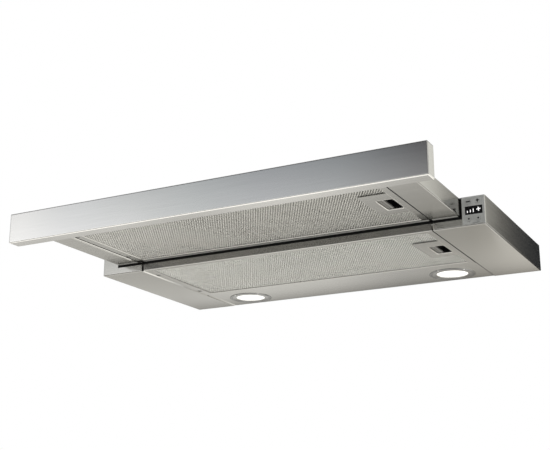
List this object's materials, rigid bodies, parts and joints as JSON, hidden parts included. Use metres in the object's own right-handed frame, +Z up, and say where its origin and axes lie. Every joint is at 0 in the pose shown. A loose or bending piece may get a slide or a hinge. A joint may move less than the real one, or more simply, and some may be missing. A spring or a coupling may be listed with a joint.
{
  "type": "telescopic range hood",
  "caption": "Stainless under-cabinet cooker hood with a pull-out filter drawer, steel front, hinged grease filters, lamps, key panel, centrifugal blower and duct collar with non-return flaps.",
  "frame": {"origin": "centre of the four cabinet screw pads, on their upper faces, where the hood hangs from the cabinet", "axes": "+X to the right seen from the front, +Y from the front to the wall, +Z up; drawer pulled out towards -Y"},
  "size_m": [0.598, 0.488, 0.1634],
  "materials": {
    "panel_steel": "brushed",
    "front_steel": "brushed",
    "filter_steel": "satin",
    "filter_aluminium": "satin",
    "zinc_sheet": "galvanised",
    "rail_steel": "zinc plated",
    "seal_rubber": "matte",
    "lamp_chrome": "satin",
    "lamp_lens": "frosted",
    "heat_sink": "cast",
    "control_face": "brushed",
    "key_metal": "satin",
    "display_black": "gloss",
    "board_green": "matte",
    "latch_black": "matte",
    "latch_grey": "matte",
    "black_plastic": "fine grain",
    "scroll_plastic": "matte",
    "motor_paint": "satin",
    "white_plastic": "matte",
    "screw_steel": "zinc plated"
  },
  "bodies": {
    "canopy": {"left_side_panel": "panel_steel", "right_side_panel": "panel_steel", "rear_panel": "zinc_sheet", "top_plate": "zinc_sheet", "lamp_panel": "panel_steel", "slot_sill": "zinc_sheet", "slot_seal": "seal_rubber", "left_lamp_ring": "lamp_chrome", "right_lamp_ring": "lamp_chrome", "left_lamp_lens": "lamp_lens", "right_lamp_lens": "lamp_lens", "left_lamp_module": "heat_sink", "right_lamp_module": "heat_sink", "control_panel": "control_face", "display_window": "display_black", "control_board": "board_green", "drawer_switch": "black_plastic", "left_runner_bracket": "zinc_sheet", "right_runner_bracket": "zinc_sheet", "left_fixed_rail": "rail_steel", "right_fixed_rail": "rail_steel", "blower_housing": "zinc_sheet", "lower_scroll": "scroll_plastic", "upper_scroll": "scroll_plastic", "motor": "motor_paint", "capacitor": "white_plastic", "terminal_box": "black_plastic", "terminal_lid": "black_plastic", "cable_gland": "black_plastic", "lamp_driver": "white_plastic", "duct_collar": "black_plastic", "flap_rod": "rail_steel", "housing_screws": "screw_steel", "collar_screws": "screw_steel"},
    "drawer": {"drawer_frame": "panel_steel", "drawer_cover": "zinc_sheet", "drawer_front": "front_steel", "drawer_front_plate": "zinc_sheet", "left_drawer_rail": "rail_steel", "right_drawer_rail": "rail_steel", "front_screws": "screw_steel"},
    "left_middle_rail": {"left_middle_rail": "rail_steel"},
    "right_middle_rail": {"right_middle_rail": "rail_steel"},
    "drawer_filter": {"drawer_filter_frame": "filter_steel", "drawer_filter_mesh": "filter_aluminium", "drawer_latch_cup": "latch_black"},
    "drawer_latch": {"drawer_latch": "latch_grey"},
    "canopy_filter": {"canopy_filter_frame": "filter_steel", "canopy_filter_mesh": "filter_aluminium", "canopy_latch_cup": "latch_black"},
    "canopy_latch": {"canopy_latch": "latch_grey"},
    "upper_left_key": {"upper_left_key": "key_metal"},
    "upper_right_key": {"upper_right_key": "key_metal"},
    "lower_left_key": {"lower_left_key": "key_metal"},
    "lower_right_key": {"lower_right_key": "key_metal"},
    "switch_lever": {"switch_lever": "rail_steel"},
    "wheel": {"wheel": "scroll_plastic"},
    "front_flap": {"front_flap": "black_plastic"},
    "rear_flap": {"rear_flap": "black_plastic"}
  },
  "joints": [
    {"name": "drawer_slide", "type": "slide", "parent": "canopy", "child": "drawer", "axis": [0, 1, 0], "range_m": [0, 0.1912]},
    {"name": "left_middle_rail_slide", "type": "slide", "parent": "canopy", "child": "left_middle_rail", "axis": [0, 1, 0], "range_m": [0, 0.0956]},
    {"name": "right_middle_rail_slide", "type": "slide", "parent": "canopy", "child": "right_middle_rail", "axis": [0, 1, 0], "range_m": [0, 0.0956]},
    {"name": "drawer_filter_hinge", "type": "hinge", "parent": "drawer", "child": "drawer_filter", "pos_m": [-0.2277, -0.2008, -0.0256], "axis": [0, -1, 0], "range_deg": [-80, 0]},
    {"name": "canopy_filter_hinge", "type": "hinge", "parent": "canopy", "child": "canopy_filter", "pos_m": [-0.2226, -0.0113, -0.0388], "axis": [0, 1, 0], "range_deg": [0, 80]},
    {"name": "drawer_latch_slide", "type": "slide", "parent": "drawer_filter", "child": "drawer_latch", "axis": [-1, 0, 0], "range_m": [0, 0.0045], "stiffness_N_per_m": 500, "springref_m": -0.003},
    {"name": "canopy_latch_slide", "type": "slide", "parent": "canopy_filter", "child": "canopy_latch", "axis": [-1, 0, 0], "range_m": [0, 0.0045], "stiffness_N_per_m": 500, "springref_m": -0.003},
    {"name": "upper_left_key_press", "type": "slide", "parent": "canopy", "child": "upper_left_key", "axis": [0, 1, 0], "range_m": [0, 0.0006], "stiffness_N_per_m": 800, "springref_m": -0.0008},
    {"name": "upper_right_key_press", "type": "slide", "parent": "canopy", "child": "upper_right_key", "axis": [0, 1, 0], "range_m": [0, 0.0006], "stiffness_N_per_m": 800, "springref_m": -0.0008},
    {"name": "lower_left_key_press", "type": "slide", "parent": "canopy", "child": "lower_left_key", "axis": [0, 1, 0], "range_m": [0, 0.0006], "stiffness_N_per_m": 800, "springref_m": -0.0008},
    {"name": "lower_right_key_press", "type": "slide", "parent": "canopy", "child": "lower_right_key", "axis": [0, 1, 0], "range_m": [0, 0.0006], "stiffness_N_per_m": 800, "springref_m": -0.0008},
    {"name": "switch_lever_hinge", "type": "hinge", "parent": "canopy", "child": "switch_lever", "pos_m": [0.13, 0.117, -0.0068], "axis": [1, 0, 0], "range_deg": [0, 8], "stiffness_Nm_per_rad": 0.03, "springref_deg": -8.59},
    {"name": "wheel_spin", "type": "hinge", "parent": "canopy", "child": "wheel", "pos_m": [-0.012, -0.007, 0.027], "axis": [0, 0, 1], "continuous": true},
    {"name": "front_flap_hinge", "type": "hinge", "parent": "canopy", "child": "front_flap", "pos_m": [0, 0.087, 0.095], "axis": [-1, 0, 0], "range_deg": [0, 75]},
    {"name": "rear_flap_hinge", "type": "hinge", "parent": "canopy", "child": "rear_flap", "pos_m": [0, 0.087, 0.095], "axis": [1, 0, 0], "range_deg": [0, 75]}
  ],
  "couplings": [
    {"joint": "left_middle_rail_slide", "follows": "drawer_slide", "ratio": 0.5},
    {"joint": "right_middle_rail_slide", "follows": "drawer_slide", "ratio": 0.5}
  ]
}
